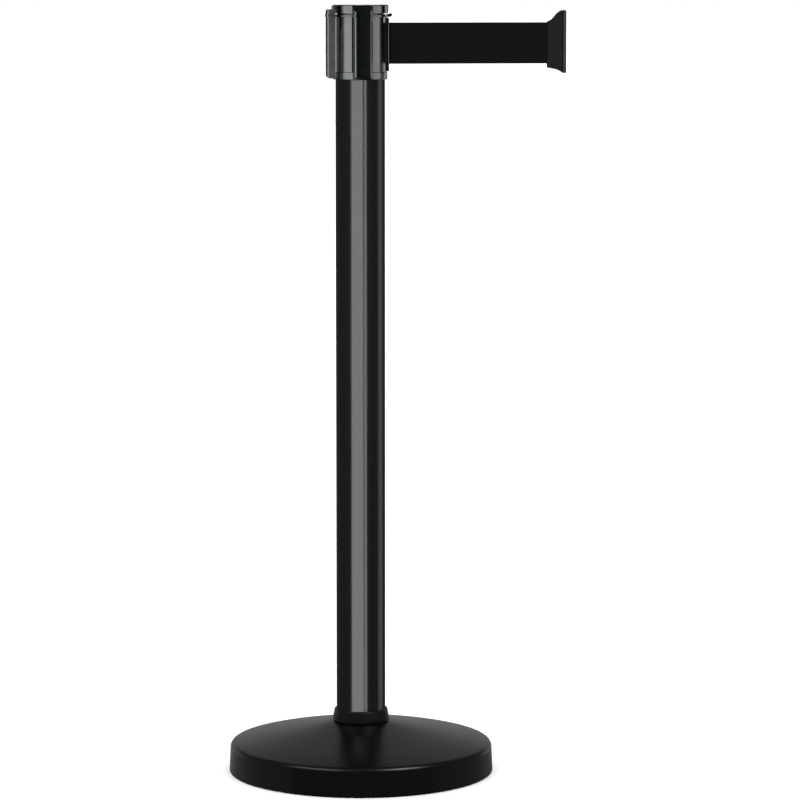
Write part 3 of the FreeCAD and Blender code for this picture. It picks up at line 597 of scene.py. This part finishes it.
# ---------------------------------------------------------------- studio
CAMERA_DISTANCE = 4.8           # from the post's axis, along the floor
CAMERA_HEIGHT = 1.06
CAMERA_AZIMUTH = -5.0           # degrees; the head is seen slightly turned
CAMERA_TILT = 6.844             # degrees below level
CAMERA_TURN = 0.605             # degrees right of the post, which stands left of the middle
LENS_MM = 169.04
CAMERA_REACH = 500              # past the backdrop; a camera with less reach sees the dim room instead

FLOOR_HALF = 60.0
WALL_HEIGHT = 60.0
ROOM_RADIANCE = 0.085
SKY_STRENGTH = 4.8              # on the floor alone
SKY_ANGLE = math.radians(120)
WATTS_PER_RADIANCE = 4.0        # an area lamp's power for each square metre and unit of radiance
BASE_AIM_HEIGHT = 0.04


def on_floor(azimuth, distance):
    """A point on the floor; azimuth 0 is in front of the stanchion and grows towards the belt."""
    angle = math.radians(azimuth)
    return Vector((math.sin(angle) * distance, -math.cos(angle) * distance, 0))


def aim(thing, place, forward):
    thing.location = place
    thing.rotation_euler = forward.to_track_quat("-Z", "Y").to_euler()


def place_camera():
    camera = bpy.data.objects.new("camera", bpy.data.cameras.new("camera"))
    scene.collection.objects.link(camera)
    camera.data.lens = LENS_MM
    camera.data.clip_end = CAMERA_REACH
    place = on_floor(CAMERA_AZIMUTH, CAMERA_DISTANCE)
    level = -place.normalized()
    right = Vector((-place.y, place.x, 0)).normalized()
    turn, tilt = math.radians(CAMERA_TURN), math.radians(CAMERA_TILT)
    ahead = level * math.cos(turn) + right * math.sin(turn)
    forward = ahead * math.cos(tilt) - Vector((0, 0, math.sin(tilt)))
    aim(camera, place + Vector((0, 0, CAMERA_HEIGHT)), forward)
    scene.camera = camera


def lit_by(light, group, pieces):
    """Let a lamp light these pieces alone, as a flag or a grid keeps a real one off the rest."""
    receivers = bpy.data.collections.new(group)
    for piece in pieces:
        receivers.objects.link(piece)
    light.light_linking.receiver_collection = receivers


def softbox(name, azimuth, elevation, distance, width, height, radiance, target):
    """A panel of light that faces the target point from the given angles, in degrees."""
    light = bpy.data.objects.new(name, bpy.data.lights.new(name, "AREA"))
    scene.collection.objects.link(light)
    light.data.shape = "RECTANGLE"
    light.data.size = width
    light.data.size_y = height
    light.data.energy = radiance * width * height * WATTS_PER_RADIANCE
    lift = math.radians(elevation)
    away = on_floor(azimuth, math.cos(lift)) + Vector((0, 0, math.sin(lift)))
    aim(light, target + away * distance, -away)
    light.visible_camera = False
    return light


def stage_piece(name, points, faces, material):
    """A staged surface that the camera sees and the stanchion doesn't mirror."""
    mesh = bpy.data.meshes.new(name)
    mesh.from_pydata(points, [], faces)
    mesh.materials.append(material)
    piece = bpy.data.objects.new(name, mesh)
    scene.collection.objects.link(piece)
    piece.visible_glossy = False
    piece.visible_diffuse = False
    piece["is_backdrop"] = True
    return piece


def lay_floor():
    """A matt pale floor, and glowing walls far off at its edges."""
    corners = [(-FLOOR_HALF, -FLOOR_HALF), (FLOOR_HALF, -FLOOR_HALF), (FLOOR_HALF, FLOOR_HALF),
               (-FLOOR_HALF, FLOOR_HALF)]
    low = [(x, y, 0) for x, y in corners]
    high = [(x, y, WALL_HEIGHT) for x, y in corners]
    matt, _, shader, _ = start_material("pale_studio_floor", "#f0f0f0", 0.9)
    shader.inputs["Specular IOR Level"].default_value = 0.0
    glow, _, shader, _ = start_material("pale_studio_backdrop", "#000000", 0.9)
    shader.inputs["Specular IOR Level"].default_value = 0.0
    shader.inputs["Emission Color"].default_value = (1, 1, 1, 1)
    shader.inputs["Emission Strength"].default_value = 1.0
    walls = [(i, (i + 1) % 4, (i + 1) % 4 + 4, i + 4) for i in range(4)]
    backdrop = stage_piece("studio_backdrop", low + high, [wall[::-1] for wall in walls], glow)
    backdrop.visible_shadow = False
    return stage_piece("studio_floor", low, [(0, 1, 2, 3)], matt)


def set_world():
    """An even dim room, so that black gloss stays black."""
    world = bpy.data.worlds.new("studio")
    scene.world = world
    world.use_nodes = True
    background = world.node_tree.nodes["Background"]
    background.inputs["Color"].default_value = (1, 1, 1, 1)
    background.inputs["Strength"].default_value = ROOM_RADIANCE


# Pieces by the lamps that light them; every other piece belongs to the head.
BASE_PIECES = {"base_cover", "base_collar", "base_weight", "floor_ring", "bottom_plug", "post_bolt",
               "bolt_washer", "lock_washer"}
POST_PIECES = {"post_tube"}
BELT_PIECES = {"webbing_out", "hem", "stitches_front", "stitches_back", "clip_screws_cross", "boss_ends",
               "belt_end_front", "belt_end_back", "belt_pin"}

# Name, pieces lit, azimuth and elevation in degrees, distance, width and height in metres, radiance.
LAMPS = [
    ("post_front", "post", -20.0, -6, 2.0, 2.1, 2.6, 3.35),
    ("post_strip", "post", 18.0, -6, 2.0, 0.36, 2.6, 3.2),
    ("post_side", "post", 99.0, -6, 2.0, 1.1, 2.6, 0.55),
    ("post_back", "post", 175.0, -6, 2.0, 0.9, 2.6, 1.2),
    ("base_left", "base", -50.0, 46, 2.0, 1.35, 0.9, 1.5),
    ("base_right", "base", 39.0, 46, 2.0, 0.8, 0.9, 4.0),
    ("base_back", "base", 180.0, 3, 3.0, 7.0, 1.7, 0.2),
    ("base_back_high", "base", 178.0, 34, 3.0, 4.0, 1.6, 0.11),
    ("base_low_left", "base", -100.0, 4, 2.0, 3.0, 1.5, 0.065),
    ("base_low_right", "base", 100.0, 4, 2.0, 3.0, 1.5, 0.035),
    ("head_left", "head", -46.0, -9, 1.6, 2.1, 0.9, 4.7),
    ("head_left_soft", "head", -90.0, -9, 1.6, 0.6, 0.9, 0.35),
    ("head_right", "head", 69.0, -9, 1.6, 1.2, 0.9, 3.0),
    ("head_side", "head", 104.0, -9, 1.6, 0.9, 0.9, 0.25),
    ("head_rim", "head", 128.0, -9, 1.6, 0.7, 0.9, 1.2),
    ("head_back", "head", 176.0, -9, 1.6, 0.5, 0.9, 2.0),
    ("belt_back", "belt", 150.0, 10, 2.4, 2.0, 1.6, 1.05),
    ("belt_front", "belt", -30.0, 10, 2.4, 2.0, 1.6, 1.05),
    ("belt_end_flank", "belt", 8.1, -1.4, 2.4, 0.1, 1.6, 3.6),
]


def group_of(piece):
    for group, names in (("base", BASE_PIECES), ("post", POST_PIECES), ("belt", BELT_PIECES)):
        if piece.name in names:
            return group
    return "head"


def set_lamps(floor):
    """A wide soft sky for the floor, and panels for the post, the base, the head and the belt."""
    sky = bpy.data.objects.new("sky", bpy.data.lights.new("sky", "SUN"))
    scene.collection.objects.link(sky)
    sky.data.energy = SKY_STRENGTH
    sky.data.angle = SKY_ANGLE
    lit_by(sky, "floor_only", [floor])
    groups = {"base": [], "post": [], "belt": [], "head": []}
    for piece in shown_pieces():
        groups[group_of(piece)].append(piece)
    targets = {
        "base": Vector((0, 0, BASE_AIM_HEIGHT)),
        "post": Vector((0, 0, centre("post_tube").z)),
        "belt": Vector((clip_start_x, 0, belt_mid_z)),
        "head": Vector((0, 0, belt_mid_z)),
    }
    for name, group, azimuth, elevation, distance, width, height, radiance in LAMPS:
        lamp = softbox(name, azimuth, elevation, distance, width, height, radiance, targets[group])
        lit_by(lamp, name + "_lit", groups[group])


scene.view_settings.view_transform = "Standard"
place_camera()
set_world()
set_lamps(lay_floor())
